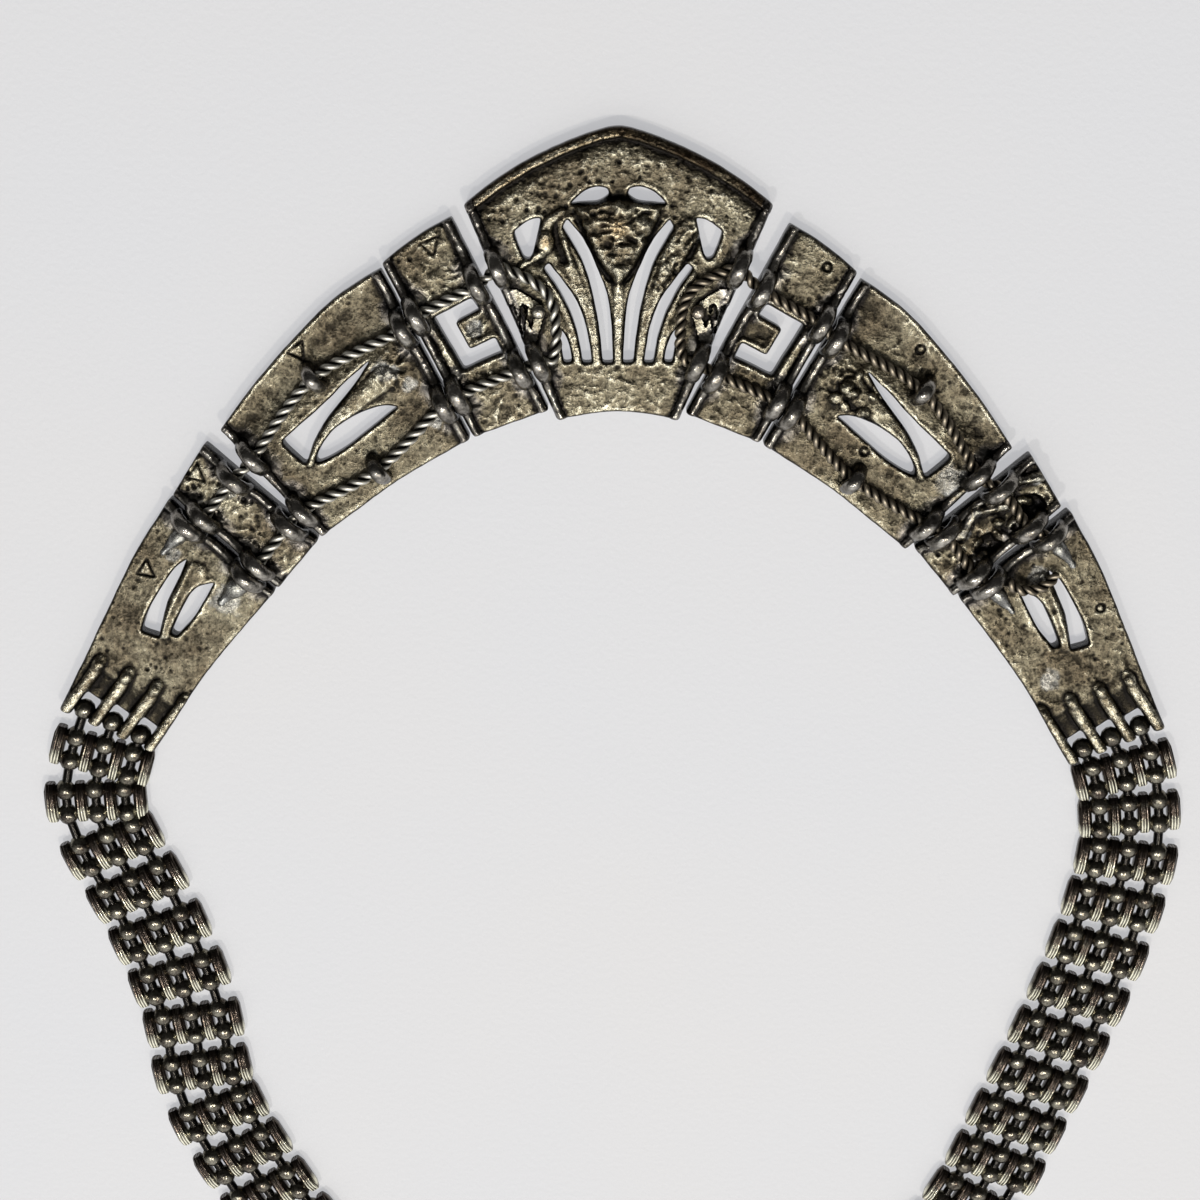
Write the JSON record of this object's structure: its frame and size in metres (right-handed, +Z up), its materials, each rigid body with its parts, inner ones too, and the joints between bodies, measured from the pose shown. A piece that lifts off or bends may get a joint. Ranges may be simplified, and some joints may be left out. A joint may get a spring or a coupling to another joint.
{
  "type": "bib necklace",
  "caption": "Bib necklace of pierced cast metal plates laced together with twisted wire, on flat bar-link chains with a plain clasp, lying face down.",
  "frame": {"origin": "middle of the bounding box on the surface that the necklace lies on", "axes": "+Z up from the surface, out of the back of the plates; +Y from the clasp to the centre plate; +X to the right as seen from above"},
  "size_m": [0.1582, 0.1926, 0.0066],
  "materials": {
    "plate_pewter": "antiqued pewter, cast texture, darkened in the hollows",
    "wire_silver": "darkened silver-coloured twisted wire",
    "chain_gunmetal": "gunmetal plating worn bright on the edges",
    "clasp_metal": "plain satin metal"
  },
  "bodies": {
    "root": {"centre_plate": "plate_pewter", "left_square_plate": "plate_pewter", "right_square_plate": "plate_pewter", "left_wing_plate": "plate_pewter", "right_wing_plate": "plate_pewter", "left_small_plate": "plate_pewter", "right_small_plate": "plate_pewter", "left_end_plate": "plate_pewter", "right_end_plate": "plate_pewter", "left_twisted_wire": "wire_silver", "right_twisted_wire": "wire_silver", "left_chain": "chain_gunmetal", "right_chain": "chain_gunmetal", "clasp": "clasp_metal"}
  },
  "joints": []
}
